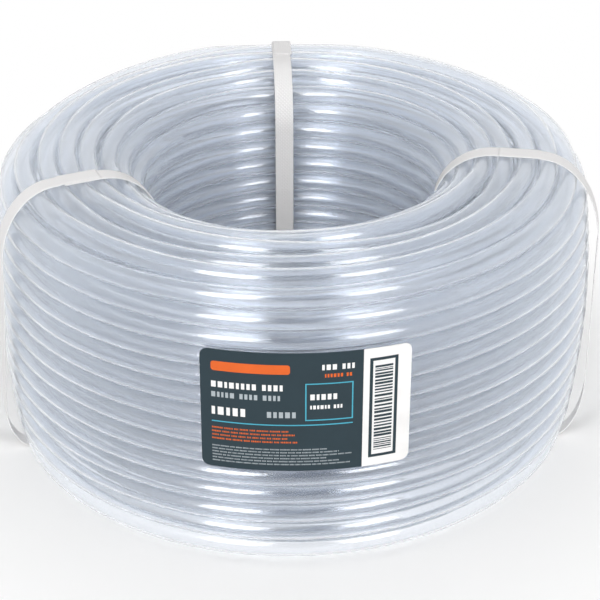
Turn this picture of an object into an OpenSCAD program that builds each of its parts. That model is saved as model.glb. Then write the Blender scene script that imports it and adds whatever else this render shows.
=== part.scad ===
// Tied coil of clear flexible hose for a water level, with three straps and a label.
// The coil stands on Z = 0 with its axis on +Z, and its label faces -Y.

/* [Hose] */
// Bore of the hose
hose_bore = 13; // [10:0.5:16]
// Wall thickness of the hose
hose_wall = 1.3; // [1:0.1:2]
// Least space between neighbouring turns
turn_gap = 0.9; // [0.8:0.1:2]

/* [Coil] */
// Outer diameter over the turns
coil_d = 450; // [420:1:480]
// Diameter of the hole through the coil
hole_d = 225; // [200:1:240]
// Height of the coil over its turns
coil_h = 241; // [220:1:270]
// Rounding of the upper outer corner
outer_corner_r = 33; // [30:1:42]
// Rounding of the upper inner corner
inner_corner_r = 45; // [36:1:52]
// How far the lowest turn is tucked in at the foot of the outer wall
foot_inset = 8; // [2:0.5:12]
// Height over which the foot of the outer wall is tucked in
foot_rise = 32; // [24:1:60]

/* [Hose ends] */
// Length of each open end past the winding
end_len = 40; // [20:1:45]
// Direction of the outer end, in degrees from +X
outer_end_azimuth = 135; // [120:15:150]
// Direction of the inner end, in degrees from +X
inner_end_azimuth = 300; // [285:15:300]
// How far the inner end is drawn into the hole
inner_end_inset = 20; // [16:1:26]
// Angle over which the inner end is drawn in
inner_end_sweep = 75; // [60:5:80]

/* [Straps] */
// Width of each strap
strap_w = 15; // [10:1:20]
// Thickness of each strap
strap_t = 0.8; // [0.5:0.1:1.5]
// Direction of the back strap, in degrees from +X
back_strap_azimuth = 92.5; // [85:0.5:100]
// Direction of the left strap, in degrees from +X
left_strap_azimuth = 204; // [195:0.5:212]
// Direction of the right strap, in degrees from +X
right_strap_azimuth = 351; // [345:0.5:360]
// How far the back strap stands off the outer wall
back_strap_bow = 6; // [0:1:25]
// How far the left strap stands off the outer wall
left_strap_bow = 10; // [0:1:25]
// How far the right strap stands off the outer wall
right_strap_bow = 14; // [0:1:25]
// Bend of each strap at the foot of the outer wall
strap_foot_r = 12; // [9:0.5:14]
// Length of the welded overlap on top of each strap
lap_len = 28; // [15:1:32]
// Sideways step of the overlap
lap_shift = 1.2; // [0:0.1:2]

/* [Label] */
// Width of the label along the coil
label_w = 149; // [100:1:180]
// Height of the label
label_h = 97; // [60:1:120]
// Thickness of the label
label_t = 0.3; // [0.2:0.05:0.6]
// Corner radius of the label
label_corner_r = 6; // [2:0.5:12]
// Direction of the label's middle, in degrees from +X
label_azimuth = 272.8; // [255:0.1:290]
// Height of the label's middle
label_z = 137; // [100:1:150]

/* [Fit] */
// Clearance between pieces that lie on each other
clearance = 0.3; // [0.2:0.05:0.5]

/* [Hidden] */

hose_colour = [0.80, 0.84, 0.88, 0.85];
strap_colour = [0.93, 0.93, 0.91];
label_colour = [0.20, 0.27, 0.31];
$fn = 96;

// Each turn has this many rings, and each ring this many corners
rings_per_turn = 24;
ring_sides = 6;
// Each rounded corner of an outline has this many steps, and so has the tucked foot
corner_steps = 10;

hose_r = hose_bore / 2 + hose_wall;
// Past its last ring a winding runs straight, and stops a clearance short of the open end
straight_len = 2 * hose_r;
winding_stub = straight_len - clearance;
turn_step = 360 / rings_per_turn;

// Upper corners, eased together where the winding is too narrow for both
winding_w = (coil_d - hole_d) / 2;
corner_share = min(1, winding_w / (outer_corner_r + inner_corner_r));
outer_round = outer_corner_r * corner_share;
inner_round = inner_corner_r * corner_share;

// Middle line of the exposed layer: up the outer wall, over the top and down the inner wall
wall_r = coil_d / 2 - hose_r;
bore_r = hole_d / 2 / cos(turn_step / 2) + hose_r;
low_z = strap_t + clearance + hose_r;
top_z = coil_h - hose_r;
outer_bend = outer_round - hose_r;
inner_bend = inner_round - hose_r;
wall_end = top_z - outer_bend - low_z;
outer_bend_end = wall_end + outer_bend * PI / 2;
top_end = outer_bend_end + wall_r - outer_bend - bore_r - inner_bend;
inner_bend_end = top_end + inner_bend * PI / 2;
skin_len = inner_bend_end + top_z - inner_bend - low_z;

// Turns of the exposed layer, ending at the inner end's direction
part_turn = ((inner_end_azimuth - outer_end_azimuth + 360) % 360) / 360;
turns = floor(skin_len / (2 * hose_r + turn_gap) - part_turn) + part_turn;
last_ring = round(turns * rings_per_turn);
split_ring = round(last_ring * inner_bend_end / skin_len);

function foot_tuck(rise) = foot_inset * pow(max(0, 1 - rise / foot_rise), 2);
function degrees_of(length, radius) = length / radius * 180 / PI;
function ease(share) = share * share * (3 - 2 * share);

// Place in the radial plane, and direction that faces out of the coil, at a distance along the exposed layer
function skin_at(s) =
    s < wall_end
        ? [wall_r - foot_tuck(s), low_z + s]
    : s < outer_bend_end
        ? let (a = degrees_of(s - wall_end, outer_bend))
            [wall_r - outer_bend + outer_bend * cos(a), top_z - outer_bend + outer_bend * sin(a)]
    : s < top_end
        ? [wall_r - outer_bend - (s - outer_bend_end), top_z]
    : s < inner_bend_end
        ? let (a = degrees_of(s - top_end, inner_bend))
            [bore_r + inner_bend - inner_bend * sin(a), top_z - inner_bend + inner_bend * cos(a)]
    : [bore_r, top_z - inner_bend - (s - inner_bend_end)];
function skin_facing(s) =
    s < wall_end ? 0
    : s < outer_bend_end ? degrees_of(s - wall_end, outer_bend)
    : s < top_end ? 90
    : s < inner_bend_end ? 90 + degrees_of(s - top_end, inner_bend)
    : 180;

// Inward shift of the last turn, which brings the inner end clear of the wall
function end_shift(ring) =
    inner_end_inset * ease(max(0, 1 - (last_ring - ring) * turn_step / inner_end_sweep));
function ring_azimuth(ring) = outer_end_azimuth + ring * turn_step;
function ring_centre(ring) =
    let (place = skin_at(skin_len * ring / last_ring))
    [place.x - end_shift(ring), place.y];

function about_axis(r, azimuth, z) = [r * cos(azimuth), r * sin(azimuth), z];
function along_turn(azimuth) = [-sin(azimuth), cos(azimuth), 0];

// Corners of one ring, with one of them facing out of the coil
function ring_points(ring, ahead = 0) =
    let (centre = ring_centre(ring), azimuth = ring_azimuth(ring))
    let (facing = skin_facing(skin_len * ring / last_ring))
    [
        for (side = [0:ring_sides - 1])
            let (a = facing + side * 360 / ring_sides)
            about_axis(centre.x + hose_r * cos(a), azimuth, centre.y + hose_r * sin(a))
                + ahead * along_turn(azimuth)
    ];

// Least gap between a ring and the ring one turn on, measured from corner to corner
function gap_at(ring) = min([
    for (a = ring_points(ring), b = ring_points(ring + rings_per_turn)) norm(a - b)
]);
function least_gap(first, last) =
    min([for (ring = [first:last - rings_per_turn]) gap_at(ring)]);

// One unbroken tube through rings of corners, closed at both ends
module tube_through(rings) {
    sides = len(rings[0]);
    ends = len(rings) - 1;
    walls = [
        for (i = [0:ends - 1], j = [0:sides - 1])
            let (a = i * sides + j, b = i * sides + (j + 1) % sides)
            each [[a, a + sides, b], [b, a + sides, b + sides]]
    ];
    first_cap = [for (j = [1:sides - 2]) [0, j, j + 1]];
    last_cap = [for (j = [1:sides - 2]) [ends * sides, ends * sides + j + 1, ends * sides + j]];
    polyhedron([for (ring = rings) each ring], concat(walls, first_cap, last_cap));
}

// Outline of the plain core under the exposed layer
chord_sag = wall_r * (1 - cos(turn_step / 2));
core_inset = hose_r + clearance;
core_wall_r = wall_r - chord_sag - core_inset;
core_outer_bend = outer_bend - core_inset;
core_inner_bend = inner_bend - core_inset;

// Quarter of an ellipse with these half axes, from an angle on
function quarter(centre, half_w, half_h, from) = [
    for (i = [0:corner_steps])
        let (a = from + 90 * i / corner_steps)
        centre + [half_w * cos(a), half_h * sin(a)]
];

module core_outline() {
    wall = [
        for (i = [0:corner_steps])
            let (rise = foot_rise * i / corner_steps)
            [core_wall_r - foot_tuck(rise), low_z + rise]
    ];
    outer_arc_centre = [core_wall_r - core_outer_bend, top_z - outer_bend];
    inner_arc_centre = [bore_r + inner_bend, top_z - inner_bend];
    polygon(concat(
        [[bore_r + core_inset, 0], [core_wall_r - foot_inset, 0]],
        wall,
        quarter(outer_arc_centre, core_outer_bend, core_outer_bend, 0),
        quarter(inner_arc_centre, core_inner_bend, core_inner_bend, 90)
    ));
}

// Groove under the coil that a strap lies in
module strap_groove(azimuth) {
    groove_w = strap_w + 2 * clearance;
    groove_h = strap_t + clearance;
    rotate([0, 0, azimuth])
        translate([0, -groove_w / 2, -groove_h])
            cube([coil_d / 2, groove_w, 2 * groove_h]);
}

module hose_buried_layers() {
    color(hose_colour)
        difference() {
            rotate_extrude()
                core_outline();
            strap_groove(back_strap_azimuth);
            strap_groove(left_strap_azimuth);
            strap_groove(right_strap_azimuth);
        }
}

module hose_outer_turns() {
    echo(outer_turns = split_ring / rings_per_turn, least_gap = least_gap(0, split_ring));
    color(hose_colour)
        tube_through(concat(
            [ring_points(0, -winding_stub)],
            [for (ring = [0:split_ring]) ring_points(ring)]
        ));
}

module hose_inner_turns() {
    echo(
        inner_turns = (last_ring - split_ring) / rings_per_turn,
        least_gap = least_gap(split_ring, last_ring)
    );
    color(hose_colour)
        tube_through(concat(
            [for (ring = [split_ring:last_ring]) ring_points(ring)],
            [ring_points(last_ring, winding_stub)]
        ));
}

// Open end of the hose, running straight on from a ring of the winding
module open_end(ring, direction) {
    centre = ring_centre(ring);
    translate(about_axis(centre.x, ring_azimuth(ring), centre.y))
        rotate([0, 0, ring_azimuth(ring)])
            rotate([-90 * direction, 0, 0])
                translate([0, 0, straight_len])
                    difference() {
                        cylinder(h = end_len, r = hose_r);
                        translate([0, 0, -clearance])
                            cylinder(h = end_len + 2 * clearance, d = hose_bore);
                    }
}

module hose_outer_end() {
    color(hose_colour)
        open_end(0, -1);
}

module hose_inner_end() {
    color(hose_colour)
        open_end(last_ring, 1);
}

// Outline of a strap's face in the radial plane, at a distance from the face that meets the coil
strap_inner_r = hole_d / 2 - clearance;
strap_outer_r = coil_d / 2 + clearance;
strap_top_z = coil_h + clearance;
strap_outer_bend = outer_round + clearance;
strap_inner_bend = inner_round + clearance;
strap_toe_bend = hose_r + clearance;

// A bowed strap leaves each corner with that corner's own curvature
function bowed_height(bend, bow) = pow(bend + bow, 2) / bend;
function strap_face(bow, off) =
    let (foot_h = bowed_height(strap_foot_r, bow), shoulder_h = bowed_height(strap_outer_bend, bow))
    concat(
        quarter(
            [strap_outer_r - strap_foot_r, strap_t + foot_h],
            strap_foot_r + bow + off, foot_h + off, 270
        ),
        quarter(
            [strap_outer_r - strap_outer_bend, strap_top_z - shoulder_h],
            strap_outer_bend + bow + off, shoulder_h + off, 0
        ),
        quarter(
            [strap_inner_r + strap_inner_bend, strap_top_z - strap_inner_bend],
            strap_inner_bend + off, strap_inner_bend + off, 90
        ),
        quarter(
            [strap_inner_r + strap_toe_bend, strap_t + strap_toe_bend],
            strap_toe_bend + off, strap_toe_bend + off, 180
        )
    );

// One thickness of strap, at a distance from the face that meets the coil
module strap_layer(bow, off) {
    difference() {
        polygon(strap_face(bow, off + strap_t));
        polygon(strap_face(bow, off));
    }
}

// Closed band round the turns, with the overlap where its ends are welded
module strap(azimuth, bow) {
    lap_r = (coil_d / 2 - outer_round + hole_d / 2 + inner_round) / 2;
    color(strap_colour)
        rotate([90, 0, azimuth]) {
            translate([0, 0, -strap_w / 2])
                linear_extrude(strap_w)
                    strap_layer(bow, 0);
            translate([0, 0, -strap_w / 2 - lap_shift])
                linear_extrude(strap_w)
                    intersection() {
                        strap_layer(bow, strap_t);
                        translate([lap_r - lap_len / 2, coil_h / 2])
                            square([lap_len, coil_h]);
                    }
        }
}

module strap_back() {
    strap(back_strap_azimuth, back_strap_bow);
}

module strap_left() {
    strap(left_strap_azimuth, left_strap_bow);
}

module strap_right() {
    strap(right_strap_azimuth, right_strap_bow);
}

module rounded_rectangle(width, height, radius) {
    square([width - 2 * radius, height], center = true);
    square([width, height - 2 * radius], center = true);
    for (x = [-1, 1], y = [-1, 1])
        translate([x * (width / 2 - radius), y * (height / 2 - radius)])
            circle(radius);
}

module label() {
    label_r = coil_d / 2 + clearance;
    half_angle = degrees_of(label_w / 2, label_r);
    color(label_colour)
        rotate([0, 0, label_azimuth])
            intersection() {
                translate([0, 0, label_z - label_h / 2])
                    difference() {
                        cylinder(h = label_h, r = label_r + label_t);
                        translate([0, 0, -label_t])
                            cylinder(h = label_h + 2 * label_t, r = label_r);
                    }
                translate([0, 0, label_z])
                    rotate([90, 0, 90])
                        linear_extrude(coil_d)
                            rounded_rectangle(2 * label_r * sin(half_angle), label_h, label_corner_r);
            }
}

hose_buried_layers();
hose_outer_turns();
hose_inner_turns();
hose_outer_end();
hose_inner_end();
strap_back();
strap_left();
strap_right();
label();
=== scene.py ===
# Tied coil of clear hose for a water level, with three flat straps and a printed label, on a white floor.
# Lengths are in metres. Azimuths are in degrees from +X towards +Y, and the label faces -Y.
import math

import bpy
import numpy as np
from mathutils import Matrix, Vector


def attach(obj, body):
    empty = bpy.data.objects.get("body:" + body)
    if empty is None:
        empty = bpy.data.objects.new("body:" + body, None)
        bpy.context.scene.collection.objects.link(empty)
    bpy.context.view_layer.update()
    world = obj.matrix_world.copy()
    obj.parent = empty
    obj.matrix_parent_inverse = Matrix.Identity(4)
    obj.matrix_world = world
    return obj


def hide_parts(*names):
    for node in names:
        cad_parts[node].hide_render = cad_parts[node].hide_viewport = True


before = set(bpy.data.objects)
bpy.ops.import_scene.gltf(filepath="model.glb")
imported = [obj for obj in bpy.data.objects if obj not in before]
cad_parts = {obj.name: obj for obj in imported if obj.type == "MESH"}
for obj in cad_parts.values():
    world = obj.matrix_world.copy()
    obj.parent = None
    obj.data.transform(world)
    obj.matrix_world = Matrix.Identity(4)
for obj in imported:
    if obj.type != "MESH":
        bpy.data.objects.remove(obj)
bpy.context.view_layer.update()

# Sizes that the solids have too; each strap has its azimuth and how far it stands off the wall
HOSE_R = 0.0078
BORE_R = 0.0065
COIL_R = 0.225
HOLE_R = 0.1125
COIL_H = 0.241
OUTER_ROUND = 0.033
INNER_ROUND = 0.045
END_RUN = 0.0556
OUTER_END_AZIMUTH = 135
INNER_END_AZIMUTH = 300
INNER_END_INSET = 0.020
INNER_END_SWEEP = 75
STRAP_W = 0.015
STRAP_T = 0.0008
STRAP_FOOT_R = 0.012
LAP_LEN = 0.028
LAP_SHIFT = 0.0012
STRAPS = {"strap_back": (92.5, 0.006), "strap_left": (204, 0.010), "strap_right": (351, 0.014)}
LABEL_W = 0.149
LABEL_H = 0.097
LABEL_T = 0.0003
LABEL_CORNER = 0.006
LABEL_AZIMUTH = 272.8
LABEL_Z = 0.137
CLEARANCE = 0.0003

# Camera of the photograph
CAMERA_AT = (0, -1.3046, 0.8465)
CAMERA_AIM = (0, 0, 0.1204)
CAMERA_LENS = 111.6
CAMERA_SENSOR = 36
CAMERA_SHIFT = (0.0155, -0.0402)


# Helpers

def ease(share):
    """Smooth step from 0 to 1."""
    share = np.clip(share, 0, 1)
    return share * share * (3 - 2 * share)


def wander(x, seed):
    """Smooth random value from -1 to 1 along x, with one knot at each whole number from 0 on."""
    knots = np.random.RandomState(seed).uniform(-1, 1, int(np.max(x)) + 2)
    low = np.floor(x).astype(int)
    share = ease(x - low)
    return knots[low] * (1 - share) + knots[low + 1] * share


def near(azimuth, centre, half, edge):
    """1 within some degrees of a direction, easing to 0 over an edge beyond them."""
    off = np.abs((azimuth - centre + 180) % 360 - 180)
    return ease((half + edge - off) / edge)


def about_axis(r, azimuth, z):
    """Points at a radius, an azimuth and a height."""
    a = np.radians(azimuth)
    return np.stack([r * np.cos(a), r * np.sin(a), z + 0 * a], axis=-1)


def lengths_along(points):
    """Distance along a line of points, from its first point to each."""
    steps = np.linalg.norm(np.diff(points, axis=0), axis=1)
    return np.concatenate([[0], np.cumsum(steps)])


def unit(vectors):
    """Vectors scaled to a length of 1."""
    return vectors / np.linalg.norm(vectors, axis=1, keepdims=True)


def square_to(vectors, axes):
    """Unit vectors at right angles to unit axes, as near to some vectors as they can be."""
    return unit(vectors - np.sum(vectors * axes, axis=1, keepdims=True) * axes)


def wall_faces(rings, sides, first=0):
    """Quads between rings of corners that run anticlockwise, seen with the line coming at the eye."""
    i, j = np.meshgrid(np.arange(rings - 1), np.arange(sides), indexing="ij")
    a = first + i * sides + j
    b = first + i * sides + (j + 1) % sides
    return np.stack([a, b, b + sides, a + sides], axis=-1).reshape(-1, 4).tolist()


def cap_faces(corners, sides):
    """Faces that close the first and the last ring of a number of corners."""
    return [list(range(sides))[::-1], list(range(corners - sides, corners))]


def add_mesh(name, points, faces, material, slot, uv=None, smooth=True):
    """A mesh that rides on the part, with one material; the slot is not used."""
    mesh = bpy.data.meshes.new(name)
    mesh.from_pydata(np.asarray(points).tolist(), [], faces)
    mesh.materials.append(material)
    mesh.polygons.foreach_set("use_smooth", [smooth] * len(mesh.polygons))
    if uv is not None:
        corner = np.empty(len(mesh.loops), dtype=int)
        mesh.loops.foreach_get("vertex_index", corner)
        mesh.uv_layers.new(name="UVMap").data.foreach_set("uv", np.asarray(uv)[corner].ravel())
    obj = bpy.data.objects.new(name, mesh)
    bpy.context.collection.objects.link(obj)
    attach(obj, "root")
    return obj


# Materials

NOISE_LOW = 0.3
NOISE_HIGH = 0.7
HOSE_TINTS = ((0.945, 0.959, 0.982), (0.955, 0.968, 0.989))
HOSE_ROUGHNESS = (0.08, 0.125)
HAZE_COLOUR = (0.62, 0.66, 0.71, 1)
# Strap colour: lighter on the emboss's ridges, and darker in its hollows as painted shade
STRAP_TONES_SHADED_IN_HOLLOWS = ((0.84, 0.83, 0.83), (0.93, 0.92, 0.92))
EMBOSS_SCALE = 150
EMBOSS_DEPTH = 0.00025
INK_SHADE = 0.92
INK_ROUGHNESS = (0.38, 0.5)
INK_RELIEF = 0.00002


def new_material(name, **sockets):
    """A Principled material with constants on its sockets, its node tree and its shader."""
    material = bpy.data.materials.new(name)
    material.use_nodes = True
    tree = material.node_tree
    shader = tree.nodes["Principled BSDF"]
    for socket, value in sockets.items():
        shader.inputs[socket.replace("_", " ")].default_value = value
    return material, tree, shader


def noise(tree, scale):
    """A noise texture on the object's own coordinates."""
    place = tree.nodes.new("ShaderNodeTexCoord")
    texture = tree.nodes.new("ShaderNodeTexNoise")
    texture.inputs["Scale"].default_value = scale
    texture.inputs["Detail"].default_value = 3
    tree.links.new(place.outputs["Object"], texture.inputs["Vector"])
    return texture.outputs["Fac"]


def calculate(tree, operation, a, b):
    """A value worked out from two others."""
    node = tree.nodes.new("ShaderNodeMath")
    node.operation = operation
    tree.links.new(a, node.inputs[0])
    tree.links.new(b, node.inputs[1])
    return node.outputs[0]


def spread(tree, source, low, high):
    """The middle of a noise's range, stretched from low to high."""
    node = tree.nodes.new("ShaderNodeMapRange")
    node.inputs["From Min"].default_value = NOISE_LOW
    node.inputs["From Max"].default_value = NOISE_HIGH
    node.inputs["To Min"].default_value = low
    node.inputs["To Max"].default_value = high
    tree.links.new(source, node.inputs["Value"])
    return node.outputs["Result"]


def bump(tree, shader, height, distance):
    """Relief of a height in metres on a shader."""
    node = tree.nodes.new("ShaderNodeBump")
    node.inputs["Strength"].default_value = 1
    node.inputs["Distance"].default_value = distance
    tree.links.new(height, node.inputs["Height"])
    tree.links.new(node.outputs["Normal"], shader.inputs["Normal"])


def two_tone(tree, shader, source, low, high):
    """Base colour that goes from one tone to another with a source."""
    ramp = tree.nodes.new("ShaderNodeValToRGB")
    ramp.color_ramp.elements[0].position = NOISE_LOW
    ramp.color_ramp.elements[0].color = (*low, 1)
    ramp.color_ramp.elements[1].position = NOISE_HIGH
    ramp.color_ramp.elements[1].color = (*high, 1)
    tree.links.new(source, ramp.inputs["Fac"])
    tree.links.new(ramp.outputs["Color"], shader.inputs["Base Color"])


def hose_material():
    """Clear soft plastic with a faint cold tint, and a haze where its surface turns away from the eye."""
    material, tree, shader = new_material(
        "clear_hose",
        IOR=1.53,
        Transmission_Weight=1.0,
        Sheen_Weight=0.38,
        Sheen_Roughness=0.6,
        Sheen_Tint=HAZE_COLOUR,
    )
    two_tone(tree, shader, noise(tree, scale=9), *HOSE_TINTS)
    tree.links.new(spread(tree, noise(tree, scale=40), *HOSE_ROUGHNESS), shader.inputs["Roughness"])
    return material


def slanting_wave(tree, turn):
    """Even ridges across a strip, turned by an angle."""
    place = tree.nodes.new("ShaderNodeUVMap")
    mapping = tree.nodes.new("ShaderNodeMapping")
    mapping.inputs["Rotation"].default_value = (0, 0, turn)
    wave = tree.nodes.new("ShaderNodeTexWave")
    wave.inputs["Scale"].default_value = EMBOSS_SCALE
    tree.links.new(place.outputs["UV"], mapping.inputs["Vector"])
    tree.links.new(mapping.outputs["Vector"], wave.inputs["Vector"])
    return wave.outputs["Fac"]


def strap_material():
    """White strapping with an embossed lattice, whose hollows have painted shade: a darker tone in the
    colour.
    """
    material, tree, shader = new_material("strapping", Roughness=0.5)
    turn = math.pi / 4
    lattice = calculate(tree, "MULTIPLY", slanting_wave(tree, turn), slanting_wave(tree, -turn))
    # Painted shade: the lattice's hollows take the darker tone
    two_tone(tree, shader, lattice, *STRAP_TONES_SHADED_IN_HOLLOWS)
    bump(tree, shader, lattice, EMBOSS_DEPTH)
    return material


def print_material(name, colour):
    """Satin ink on a label, a little uneven."""
    material, tree, shader = new_material(name, IOR=1.35)
    darker = tuple(INK_SHADE * c for c in colour)
    two_tone(tree, shader, noise(tree, scale=60), darker, colour)
    tree.links.new(spread(tree, noise(tree, scale=300), *INK_ROUGHNESS), shader.inputs["Roughness"])
    bump(tree, shader, noise(tree, scale=900), INK_RELIEF)
    return material


hose_plastic = hose_material()
strap_plastic = strap_material()


# Camera

def add_camera():
    """Camera at the photograph's viewing angle."""
    data = bpy.data.cameras.new("camera")
    data.lens = CAMERA_LENS
    data.sensor_width = CAMERA_SENSOR
    data.shift_x, data.shift_y = CAMERA_SHIFT
    camera = bpy.data.objects.new("camera", data)
    camera.location = CAMERA_AT
    camera.rotation_mode = "QUATERNION"
    camera.rotation_quaternion = (Vector(CAMERA_AIM) - Vector(CAMERA_AT)).to_track_quat("-Z", "Y")
    bpy.context.collection.objects.link(camera)
    bpy.context.scene.camera = camera


add_camera()


# Hose: the exposed layer is one tube up the outer wall, over the top and down the inner wall

INNER_SLACK = 0.001
WALL_R = COIL_R - HOSE_R
INNER_R = HOLE_R + HOSE_R + INNER_SLACK
LOW_Z = STRAP_T + CLEARANCE + HOSE_R
TOP_Z = COIL_H - HOSE_R
OUTER_BEND = OUTER_ROUND - HOSE_R
INNER_BEND = INNER_ROUND - HOSE_R
FOOT_TUCK = 0.004
FOOT_RISE = 0.032
WHOLE_TURNS = 32
EXPOSED_TURNS = WHOLE_TURNS + (INNER_END_AZIMUTH - OUTER_END_AZIMUTH) / 360
RINGS_PER_TURN = 96
END_RINGS = 8
HOSE_SIDES = 14
WALL_POINTS = 50
ARC_POINTS = 25

# Angles in the radial plane at which a turn faces, and the largest that counts as facing out of the wall
OUTWARD = 0
UPWARD = 90
INWARD = 180
ON_WALL = 1

# How far loose turns stray, over how many degrees of winding, and how much each sinks in
WALL_SLACK = 0.0010
TOP_SLACK = 0.0028
LIFT_SPAN = 55
LIFT_SEED = 7
ASIDE_SPAN = 80
ASIDE_SEED = 12
SINK = 0.0002

# Where the straps and the label hold turns level: half angle and easing, and the label's reach up and down
STRAP_HOLD = (4, 16)
LABEL_HOLD = (21, 14)
LABEL_REACH = 0.075
LABEL_REACH_EDGE = 0.012

# Bulges of the wall: depth, azimuth and reach in degrees; they fade over an angle below the top
BULGES = ((0.011, -6, 58), (0.006, 186, 60))
BULGE_FADE = 60


def arc(centre_r, centre_z, radius, start, stop):
    """Radius, height and facing angle along an arc in the radial plane."""
    a = np.linspace(start, stop, ARC_POINTS)
    return centre_r + radius * np.cos(np.radians(a)), centre_z + radius * np.sin(np.radians(a)), a


def exposed_outline():
    """Distance, radius, height and facing angle along the middle line of the exposed layer."""
    rise = np.linspace(0, TOP_Z - OUTER_BEND - LOW_Z, WALL_POINTS)
    tuck = FOOT_TUCK * np.maximum(0, 1 - rise / FOOT_RISE) ** 2
    fall = np.linspace(TOP_Z - INNER_BEND, LOW_Z, WALL_POINTS)
    pieces = [
        (WALL_R - tuck, LOW_Z + rise, np.full(WALL_POINTS, OUTWARD)),
        arc(WALL_R - OUTER_BEND, TOP_Z - OUTER_BEND, OUTER_BEND, OUTWARD, UPWARD),
        arc(INNER_R + INNER_BEND, TOP_Z - INNER_BEND, INNER_BEND, UPWARD, INWARD),
        (np.full(WALL_POINTS, INNER_R), fall, np.full(WALL_POINTS, INWARD)),
    ]
    r, z, facing = (np.concatenate([piece[k] for piece in pieces]) for k in range(3))
    return lengths_along(np.stack([r, z], axis=-1)), r, z, facing


def held_share(azimuth, z, facing):
    """1 where a strap or the label holds the turns level, easing to 0 where they are loose."""
    by_straps = sum(near(azimuth, at, *STRAP_HOLD) for at, _ in STRAPS.values())
    label_rows = ease((LABEL_REACH - np.abs(z - LABEL_Z)) / LABEL_REACH_EDGE)
    by_label = near(azimuth, LABEL_AZIMUTH, *LABEL_HOLD) * label_rows * (facing < ON_WALL)
    return np.clip(by_straps + by_label, 0, 1)


def wall_bulge(azimuth, z, facing):
    """How far the wall stands out on the right and on the left, most at half height."""
    middle = np.sin(np.pi * (z / COIL_H)) * ease((UPWARD - facing) / BULGE_FADE)
    return sum(depth * near(azimuth, at, 0, reach) for depth, at, reach in BULGES) * middle


def with_straight_ends(points, out, last_azimuth):
    """A line and its outward directions, with both ends running straight on from the winding."""
    run = np.linspace(END_RUN, 0, END_RINGS + 1)[:-1, None]
    before = points[0] + run * about_axis(1.0, OUTER_END_AZIMUTH - 90, 0.0)
    after = points[-1] + run[::-1] * about_axis(1.0, last_azimuth + 90, 0.0)
    out_before = np.tile(out[0], (END_RINGS, 1))
    out_after = np.tile(out[-1], (END_RINGS, 1))
    return np.concatenate([before, points, after]), np.concatenate([out_before, out, out_after])


def exposed_line():
    """Middle line of the exposed hose, and the direction in which each point faces out of the coil."""
    along, *outline = exposed_outline()
    rings = round(EXPOSED_TURNS * RINGS_PER_TURN) + 1
    swept = np.linspace(0, 360 * EXPOSED_TURNS, rings)
    azimuth = OUTER_END_AZIMUTH + swept
    r, z, facing = (np.interp(along[-1] * swept / swept[-1], along, values) for values in outline)
    out_r = np.cos(np.radians(facing))
    out_z = np.sin(np.radians(facing))

    # Loose turns lie higher or lower than their neighbours, and stray sideways on the top
    slack = WALL_SLACK + TOP_SLACK * out_z
    loose = 1 - held_share(azimuth, z, facing)
    lift = slack * wander(swept / LIFT_SPAN, LIFT_SEED) * loose - SINK
    aside = TOP_SLACK * out_z * wander(swept / ASIDE_SPAN, ASIDE_SEED)
    bulge = wall_bulge(azimuth, z, facing)
    drawn_in = INNER_END_INSET * ease(1 - (swept[-1] - swept) / INNER_END_SWEEP)
    r = r + lift * out_r - aside * out_z + bulge - drawn_in
    z = z + lift * out_z + aside * out_r
    return with_straight_ends(about_axis(r, azimuth, z), about_axis(out_r, azimuth, out_z), azimuth[-1])


def tube_rings(points, out, radius, sides):
    """Rings of corners round a line, of one radius or one for each, with their first corner facing out."""
    ahead = unit(np.gradient(points, axis=0))
    out = square_to(out, ahead)
    side = np.cross(ahead, out)
    a = np.arange(sides) * 2 * np.pi / sides
    across = np.cos(a)[None, :, None] * out[:, None] + np.sin(a)[None, :, None] * side[:, None]
    return points[:, None] + np.reshape(radius, (-1, 1, 1)) * across


def hollow_tube(points, out, sides):
    """Corners and faces of a hose with its bore, open at both ends."""
    outer = tube_rings(points, out, HOSE_R, sides).reshape(-1, 3)
    bore = tube_rings(points, out, BORE_R, sides).reshape(-1, 3)
    rings = len(points)
    faces = wall_faces(rings, sides)
    faces += [face[::-1] for face in wall_faces(rings, sides, len(outer))]
    for ring, flip in ((0, True), (rings - 1, False)):
        for j in range(sides):
            a = ring * sides + j
            b = ring * sides + (j + 1) % sides
            face = [a, b, b + len(outer), a + len(outer)]
            faces.append(face[::-1] if flip else face)
    return np.concatenate([outer, bore]), faces


# Buried layers: radius, top row and winding direction go from layer to layer, as a drum is wound

BURIED_LAYERS = 5
BURIED_PIECES = {"hose_buried_inner": range(0, 3), "hose_buried_outer": range(3, BURIED_LAYERS)}
BURIED_SIDES = 10
BURIED_PITCH = 0.0168
BURIED_SLACK = 0.002
BURIED_STEP = 7.5
LAYER_STEP = (WALL_R - INNER_R) / (BURIED_LAYERS + 1)
LAYER_CHANGE = 60

# A buried tube tapers to a share of its radius; even rings stop a lead before its last end, and the taper
# takes a short sweep there, under the back strap
TIP_SHARE = 0.2
TIP_SWEEP = 2
TIP_LEAD = 9
TIP_AZIMUTH = STRAPS["strap_back"][0] + 1


def buried_top(r):
    """Highest middle line of a buried turn, one hose and a little slack under the exposed layer."""
    depth = 2 * HOSE_R + BURIED_SLACK
    across_outer = max(0, r - (WALL_R - OUTER_BEND))
    across_inner = max(0, INNER_R + INNER_BEND - r)
    outer_drop = OUTER_BEND - math.sqrt(OUTER_BEND ** 2 - across_outer ** 2)
    inner_bend = INNER_BEND - depth
    inner_drop = inner_bend - math.sqrt(max(0, inner_bend ** 2 - across_inner ** 2))
    return TOP_Z - depth - outer_drop - inner_drop


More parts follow.
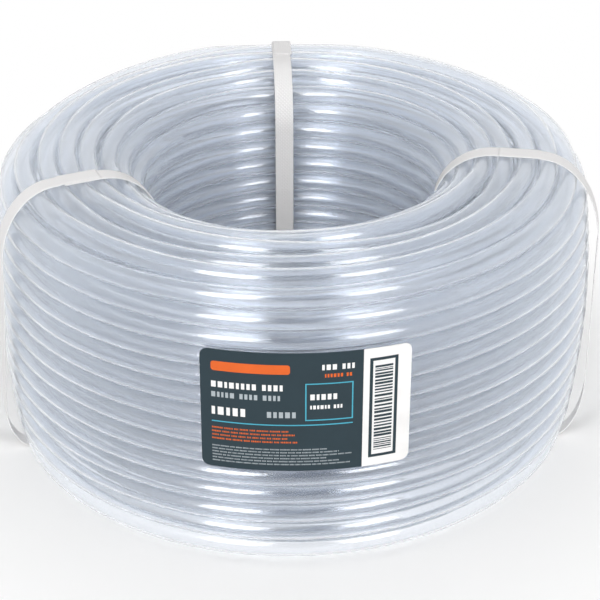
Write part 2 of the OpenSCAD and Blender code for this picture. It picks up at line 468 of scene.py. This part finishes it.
def buried_line(layers):
    """Middle line of some buried layers, wound up one and down the next, and its outward directions."""
    knots = []
    swept = 0
    for count, layer in enumerate(layers):
        r = INNER_R + (layer + 1) * LAYER_STEP
        ends = [LOW_Z, buried_top(r)]
        if count % 2:
            ends.reverse()
        turns = abs(ends[1] - ends[0]) / BURIED_PITCH
        knots.append((swept, r, ends[0]))
        swept += 360 * turns
        knots.append((swept, r, ends[1]))
        swept += LAYER_CHANGE
    knot_angle, knot_r, knot_z = np.array(knots).T
    last = knot_angle[-1]
    angle = np.concatenate([np.arange(0, last - TIP_LEAD, BURIED_STEP), [last - TIP_SWEEP, last]])
    azimuth = TIP_AZIMUTH + angle - last
    r = np.interp(angle, knot_angle, knot_r)
    z = np.interp(angle, knot_angle, knot_z)
    return about_axis(r, azimuth, z), about_axis(1.0, azimuth, 0.0)


def plain_tube(points, out, sides):
    """Corners and faces of a tube without its bore, tapered where it runs out of sight at both ends."""
    radius = np.full(len(points), HOSE_R)
    radius[[0, -1]] = TIP_SHARE * HOSE_R
    corners = tube_rings(points, out, radius, sides).reshape(-1, 3)
    return corners, wall_faces(len(points), sides) + cap_faces(len(corners), sides)


def declare_hose(obj, points, far_end, *nodes):
    """Hides the solids that this piece of hose stands for."""
    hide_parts(*nodes)


# Lamp light passes real clear hose, so only the inner buried layers cast a shadow

exposed_points, exposed_out = exposed_line()
exposed_tube = hollow_tube(exposed_points, exposed_out, HOSE_SIDES)
exposed_hose = add_mesh("hose_exposed", *exposed_tube, hose_plastic, "hose")
exposed_hose.visible_shadow = False
declare_hose(
    exposed_hose, exposed_points, "bare",
    "hose_outer_turns", "hose_inner_turns", "hose_outer_end", "hose_inner_end",
)
for buried_name, buried_layers in BURIED_PIECES.items():
    buried_points, buried_out = buried_line(buried_layers)
    buried_tube = plain_tube(buried_points, buried_out, BURIED_SIDES)
    buried_hose = add_mesh(buried_name, *buried_tube, hose_plastic, "hose")
    buried_hose.visible_shadow = buried_name == "hose_buried_inner"
    declare_hose(buried_hose, buried_points, "object", "hose_buried_layers")


# Straps: an open band whose last stretch lies on its first, welded there

STRAP_STEP = 0.0015
QUARTER_POINTS = 31
LAP_EASE = 0.006
LAP_R = {"strap_back": 0.196, "strap_left": 0.184, "strap_right": 0.188}

# Edges of the band: where its flat faces begin, a line that keeps their shading flat, and the rims' height
EDGE_ROUND = 0.0005
EDGE_EASE = 0.0011
EDGE_RISE = 0.3

# Degrees by which the foot of a strap lies aside of its top, and the height where that starts
LEANS = {"strap_back": 0, "strap_left": -8, "strap_right": -3}
LEAN_TOP = 0.20


def quarter(centre_r, centre_z, half_w, half_h, start):
    """Quarter of an ellipse in the radial plane."""
    a = np.radians(np.linspace(start, start + 90, QUARTER_POINTS))
    return np.stack([centre_r + half_w * np.cos(a), centre_z + half_h * np.sin(a)], axis=-1)


def strap_outline(bow):
    """Inner face of a strap in the radial plane, closed, from the foot of the outer wall up."""
    outer_bend = OUTER_ROUND + CLEARANCE
    inner_bend = INNER_ROUND + CLEARANCE
    toe_bend = HOSE_R + CLEARANCE
    outer_r = COIL_R + CLEARANCE
    inner_r = HOLE_R - CLEARANCE
    top_z = COIL_H + CLEARANCE
    foot_h = (STRAP_FOOT_R + bow) ** 2 / STRAP_FOOT_R
    shoulder_h = (outer_bend + bow) ** 2 / outer_bend
    corners = [
        quarter(outer_r - STRAP_FOOT_R, STRAP_T + foot_h, STRAP_FOOT_R + bow, foot_h, 270),
        quarter(outer_r - outer_bend, top_z - shoulder_h, outer_bend + bow, shoulder_h, 0),
        quarter(inner_r + inner_bend, top_z - inner_bend, inner_bend, inner_bend, 90),
        quarter(inner_r + toe_bend, STRAP_T + toe_bend, toe_bend, toe_bend, 180),
    ]
    return np.concatenate(corners + [corners[0][:1]])


def strap_run(bow, lap_r):
    """Length of one loop, distances along a strap with its overlap, and its line and tangent there."""
    outline = strap_outline(bow)
    along = lengths_along(outline)
    loop = along[-1]
    on_top = outline[:, 1] > COIL_H
    start = np.interp(-lap_r, -outline[on_top, 0], along[on_top])
    u = np.linspace(0, loop + LAP_LEN, round((loop + LAP_LEN) / STRAP_STEP))

    def place(distance):
        """Radius and height at distances along the outline, which goes on round."""
        return np.stack([np.interp(distance % loop, along, outline[:, k]) for k in (0, 1)], axis=-1)

    tangent = unit(place(start + u + STRAP_STEP / 2) - place(start + u - STRAP_STEP / 2))
    return loop, u, place(start + u), tangent


def strap_section():
    """Corners of the band's section as shares of its width and thickness, with eased edges."""
    edge = EDGE_ROUND / STRAP_W
    flat = EDGE_EASE / STRAP_W
    lower = [
        (-0.5, EDGE_RISE),
        (-0.5 + edge, 0),
        (-0.5 + flat, 0),
        (0.5 - flat, 0),
        (0.5 - edge, 0),
        (0.5, EDGE_RISE),
    ]
    upper = [(-share, 1 - height) for share, height in lower]
    return np.array(lower + upper)


def add_strap(name, azimuth, bow, lap_r, lean):
    """One strap round the coil, whose overlap starts at a radius on the top and whose foot leans aside."""
    loop, u, line, tangent = strap_run(bow, lap_r)
    r, z = line.T
    down = ease((LEAN_TOP - z) / LEAN_TOP) * ease((r - HOLE_R) / (COIL_R - STRAP_FOOT_R - HOLE_R))
    leant = azimuth + lean * down
    centre = about_axis(r, leant, z)
    forward = unit(np.gradient(centre, axis=0))
    normal = square_to(about_axis(tangent[:, 1], leant, -tangent[:, 0]), forward)
    side = np.cross(normal, forward)

    # The overlap lies one thickness higher and a little aside
    section = strap_section()
    height = STRAP_T * ease((u - loop + LAP_EASE) / LAP_EASE)[:, None] + STRAP_T * section[None, :, 1]
    across = LAP_SHIFT * (u / loop - 0.5)[:, None] + STRAP_W * section[None, :, 0]
    points = centre[:, None] + height[..., None] * normal[:, None] + across[..., None] * side[:, None]
    points = points.reshape(-1, 3)
    faces = wall_faces(len(u), len(section)) + cap_faces(len(points), len(section))
    uv = np.stack([u[:, None] + 0 * across, across], axis=-1).reshape(-1, 2)
    strap = add_mesh(name.replace("strap", "band"), points, faces, strap_plastic, "strap", uv)
    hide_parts(name)


for strap_name, (strap_azimuth, strap_bow) in STRAPS.items():
    add_strap(strap_name, strap_azimuth, strap_bow, LAP_R[strap_name], LEANS[strap_name])


# Label: a curved sheet with blocks of print, placed in millimetres from its lower left corner

MM = 0.001
LABEL_R = COIL_R + CLEARANCE
PRINT_T = 0.00006
PLATE_STEP = 0.004
CORNER_POINTS = 6

# Share of its radius that a rounded corner takes in at most, so that no end closes to a line
MOST_TRIM = 0.999

# Blocks in a line, with widths and spaces as shares of its height, and stripes
BLOCK_WIDTHS = (0.35, 0.7)
BLOCKS_IN_GROUP = (3, 9)
BLOCK_SPACE = 0.3
GROUP_SPACE = 0.6
STRIPE_THICK = (0.5, 2.0)
STRIPE_SPACE = (0.6, 1.6)

SLATE = (0.022, 0.042, 0.054)
WHITE = (0.92, 0.91, 0.90)
GREY = (0.42, 0.47, 0.50)
ORANGE = (0.78, 0.135, 0.020)
BLUE = (0.075, 0.42, 0.56)

# Lines of blocks: left, right, bottom, height and seed
WHITE_LINES = (
    (85, 108, 83, 4.3, 2),
    (8, 63, 66.5, 4.8, 1),
    (8, 43, 44, 6.5, 3),
    (77, 103, 59, 4.6, 4),
    (77, 101, 51.5, 3, 5),
)
GREY_LINES = ((8, 57, 58.5, 4.2, 6), (47, 68, 44.5, 4.8, 7))
ORANGE_LINES = ((87, 108, 77, 2.8, 8),)


def round_off(distance, corner):
    """How far a rounded corner takes the edge of a plate in, at a distance from the plate's end."""
    left = np.clip(corner - distance, 0, corner)
    return np.minimum(corner - np.sqrt(corner ** 2 - left ** 2), MOST_TRIM * corner)


def plate(left, bottom, width, height, corners, inner_r, outer_r):
    """Corners and faces of a thin plate bent round the coil's axis, with a corner radius at either end."""
    first, last = corners
    eased = 1 - np.cos(np.radians(np.linspace(0, 90, CORNER_POINTS)))
    middle = np.linspace(first, width - last, max(2, round(width / PLATE_STEP)))
    u = np.unique(np.concatenate([first * eased, middle, width - last * eased]).round(7))
    trim = round_off(u, first) + round_off(width - u, last)
    azimuth = LABEL_AZIMUTH + np.degrees((left + u - LABEL_W / 2) / LABEL_R)
    low = LABEL_Z - LABEL_H / 2 + bottom + trim
    high = LABEL_Z - LABEL_H / 2 + bottom + height - trim
    edges = ((inner_r, low), (outer_r, low), (outer_r, high), (inner_r, high))
    points = np.stack([about_axis(r, azimuth, z) for r, z in edges], axis=1).reshape(-1, 3)
    faces = wall_faces(len(u), len(edges)) + cap_faces(len(points), len(edges))
    return points, [face[::-1] for face in faces]


def bar(left, bottom, width, height, corner=0):
    """One block of print, rounded alike at both ends."""
    return left, bottom, width, height, (corner, corner)


def word_bars(left, right, bottom, height, seed):
    """A line of plain upright blocks of uneven width, in groups."""
    random = np.random.RandomState(seed)
    blocks = []
    at = left
    while at < right - height:
        for width in height * random.uniform(*BLOCK_WIDTHS, random.randint(*BLOCKS_IN_GROUP)):
            if at + width < right:
                blocks.append(bar(at, bottom, width, height))
            at += width + BLOCK_SPACE * height
        at += GROUP_SPACE * height
    return blocks


def all_lines(lines):
    """The blocks of several lines."""
    return [block for line in lines for block in word_bars(*line)]


def small_print(left, rights, bottom, step, count, height, seed):
    """Lines of small blocks from the bottom up, which end at some places in turn."""
    lines = []
    for line in range(count):
        lines.append((left, rights[line % len(rights)], bottom + step * line, height, seed + line))
    return all_lines(lines)


def stripe_bars(left, bottom, width, height, seed):
    """A stack of stripes of uneven thickness."""
    random = np.random.RandomState(seed)
    blocks = []
    at = 0
    while at < height - STRIPE_THICK[1]:
        thick = random.uniform(*STRIPE_THICK)
        blocks.append(bar(left, bottom + at, width, thick))
        at += thick + random.uniform(*STRIPE_SPACE)
    return blocks


def frame_bars(left, bottom, width, height, thick):
    """A rectangle of four thin blocks."""
    return [
        bar(left, bottom, width, thick),
        bar(left, bottom + height - thick, width, thick),
        bar(left, bottom + thick, thick, height - 2 * thick),
        bar(left + width - thick, bottom + thick, thick, height - 2 * thick),
    ]


def add_print(name, colour, blocks, level=1):
    """Blocks of one ink on the label, as left, bottom, width, height and the corner radii of both ends."""
    points, faces = [], []
    inner_r = LABEL_R + LABEL_T + (level - 1) * PRINT_T
    for left, bottom, width, height, corners in blocks:
        box = [MM * value for value in (left, bottom, width, height)]
        radii = [MM * value for value in corners]
        block_points, block_faces = plate(*box, radii, inner_r, inner_r + PRINT_T)
        faces += [[len(points) + k for k in face] for face in block_faces]
        points += block_points.tolist()
    add_mesh(name, points, faces, print_material(name, colour), "label", smooth=False)


label_plate = plate(0, 0, LABEL_W, LABEL_H, (LABEL_CORNER, LABEL_CORNER), LABEL_R, LABEL_R + LABEL_T)
label_ink = print_material("label_slate", SLATE)
label = add_mesh("label_sheet", *label_plate, label_ink, "label", smooth=False)
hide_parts("label")

white_panel = (114, 0, 35, 97, (0, 6))
add_print("print_white", WHITE, [white_panel] + all_lines(WHITE_LINES))

grey_small = small_print(8, rights=(107, 98, 89), bottom=5, step=2.5, count=6, height=1.0, seed=20)
add_print("print_grey", GREY, all_lines(GREY_LINES) + grey_small)

orange_bar = bar(8, 80, 55, 7.5, corner=2)
orange_small = small_print(8, rights=(68, 62), bottom=23.5, step=3, count=4, height=1.3, seed=30)
add_print("print_orange", ORANGE, [orange_bar] + all_lines(ORANGE_LINES) + orange_small)

blue_rule = bar(8, 38, 99, 0.9, corner=0.3)
add_print("print_blue", BLUE, [blue_rule] + frame_bars(73.5, 42, 33.5, 30.5, thick=0.9))

dark_frame = frame_bars(118.5, 7, 20.5, 82, thick=2.3)
add_print("print_dark", SLATE, dark_frame + stripe_bars(122.3, 13, 13, 70, seed=9), level=2)


# Stage: a white floor that keeps the shadow, a white surround, three softboxes and a dark panel

FLOOR_HALF = 8.0
FLOOR_COLOUR = (0.96, 0.96, 0.96, 1)
SHADOW_FADE = (0.20, 0.42)
MIRRORED_FADE = (0.04, 0.32)
PANEL_COLOUR = (0.03, 0.03, 0.035, 1)
LIGHT_BOUNCES = 64


def fade_out(tree, start, stop):
    """0 within a distance of the coil's axis, rising to 1 at a larger one."""
    place = tree.nodes.new("ShaderNodeTexCoord")
    reach = tree.nodes.new("ShaderNodeVectorMath")
    reach.operation = "LENGTH"
    fade = tree.nodes.new("ShaderNodeMapRange")
    fade.interpolation_type = "SMOOTHSTEP"
    fade.inputs["From Min"].default_value = start
    fade.inputs["From Max"].default_value = stop
    tree.links.new(place.outputs["Object"], reach.inputs[0])
    tree.links.new(reach.outputs["Value"], fade.inputs["Value"])
    return fade.outputs["Result"]


def flat_panel(name, half_w, half_h, material):
    """A rectangle in its own XY plane, centred on its origin."""
    mesh = bpy.data.meshes.new(name)
    corners = [(-half_w, -half_h, 0), (half_w, -half_h, 0), (half_w, half_h, 0), (-half_w, half_h, 0)]
    mesh.from_pydata(corners, [], [(0, 1, 2, 3)])
    mesh.materials.append(material)
    return bpy.data.objects.new(name, mesh)


def floor_material():
    """White that shows the coil's shadow near it, and glows white further out as the surround does."""
    material = bpy.data.materials.new("floor")
    material.use_nodes = True
    tree = material.node_tree
    tree.nodes.clear()
    matt = tree.nodes.new("ShaderNodeBsdfDiffuse")
    matt.inputs["Color"].default_value = FLOOR_COLOUR
    glow = tree.nodes.new("ShaderNodeEmission")
    mix = tree.nodes.new("ShaderNodeMixShader")
    output = tree.nodes.new("ShaderNodeOutputMaterial")
    path = tree.nodes.new("ShaderNodeLightPath").outputs
    by_way = calculate(tree, "MAXIMUM", path["Is Glossy Ray"], path["Is Transmission Ray"])
    straight = calculate(tree, "MULTIPLY", path["Is Camera Ray"], fade_out(tree, *SHADOW_FADE))
    mirrored = calculate(tree, "MULTIPLY", by_way, fade_out(tree, *MIRRORED_FADE))
    tree.links.new(calculate(tree, "MAXIMUM", straight, mirrored), mix.inputs["Fac"])
    tree.links.new(matt.outputs["BSDF"], mix.inputs[1])
    tree.links.new(glow.outputs["Emission"], mix.inputs[2])
    tree.links.new(mix.outputs["Shader"], output.inputs["Surface"])
    return material


def add_floor():
    """Floor that the coil stands on."""
    floor = flat_panel("floor", FLOOR_HALF, FLOOR_HALF, floor_material())
    bpy.context.collection.objects.link(floor)


def add_surround(strength):
    """White surround that lights matt pieces less brightly than it shows."""
    world = bpy.data.worlds.new("surround")
    bpy.context.scene.world = world
    world.use_nodes = True
    tree = world.node_tree
    light = tree.nodes["Background"]
    light.inputs["Color"].default_value = (1, 1, 1, 1)
    light.inputs["Strength"].default_value = strength
    shown = tree.nodes.new("ShaderNodeBackground")
    shown.inputs["Color"].default_value = (1, 1, 1, 1)
    mix = tree.nodes.new("ShaderNodeMixShader")
    path = tree.nodes.new("ShaderNodeLightPath").outputs
    by_way = calculate(tree, "MAXIMUM", path["Is Glossy Ray"], path["Is Transmission Ray"])
    tree.links.new(calculate(tree, "MAXIMUM", path["Is Camera Ray"], by_way), mix.inputs["Fac"])
    tree.links.new(light.outputs["Background"], mix.inputs[1])
    tree.links.new(shown.outputs["Background"], mix.inputs[2])
    tree.links.new(mix.outputs["Shader"], tree.nodes["World Output"].inputs["Surface"])


def aim_at_coil(obj, aside, elevation, distance):
    """Stands a lamp or a panel at an angle to the right of the camera, facing the coil's middle."""
    a, e = math.radians(aside), math.radians(elevation)
    back = Vector((math.sin(a) * math.cos(e), -math.cos(a) * math.cos(e), math.sin(e)))
    obj.location = Vector((0, 0, COIL_H / 2)) + distance * back
    obj.rotation_mode = "QUATERNION"
    obj.rotation_quaternion = (-back).to_track_quat("-Z", "Y")
    obj.visible_camera = False
    bpy.context.collection.objects.link(obj)


def add_softbox(name, aside, elevation, distance, width, height, power):
    """Rectangular area lamp."""
    data = bpy.data.lights.new(name, "AREA")
    data.shape = "RECTANGLE"
    data.size = width
    data.size_y = height
    data.energy = power
    aim_at_coil(bpy.data.objects.new(name, data), aside, elevation, distance)


def add_dark_panel(aside, elevation, distance, width, height):
    """Dark panel between the softboxes, behind the camera."""
    cloth = new_material("dark_cloth", Base_Color=PANEL_COLOUR, Roughness=0.9)[0]
    panel = flat_panel("dark_panel", width / 2, height / 2, cloth)
    aim_at_coil(panel, aside, elevation, distance)


add_floor()
add_surround(strength=0.55)
add_softbox("left_box", aside=-23, elevation=32, distance=2.0, width=0.7, height=1.3, power=14.5)
add_softbox("right_box", aside=30, elevation=32, distance=2.0, width=0.65, height=1.3, power=11.5)
add_softbox("top_box", aside=0, elevation=74, distance=1.8, width=1.2, height=0.9, power=3)
add_dark_panel(aside=4, elevation=35, distance=2.3, width=1.55, height=2.5)
bpy.context.scene.view_settings.view_transform = "Standard"
bpy.context.scene.cycles.max_bounces = LIGHT_BOUNCES
bpy.context.scene.cycles.transmission_bounces = LIGHT_BOUNCES
bpy.context.scene.cycles.glossy_bounces = LIGHT_BOUNCES
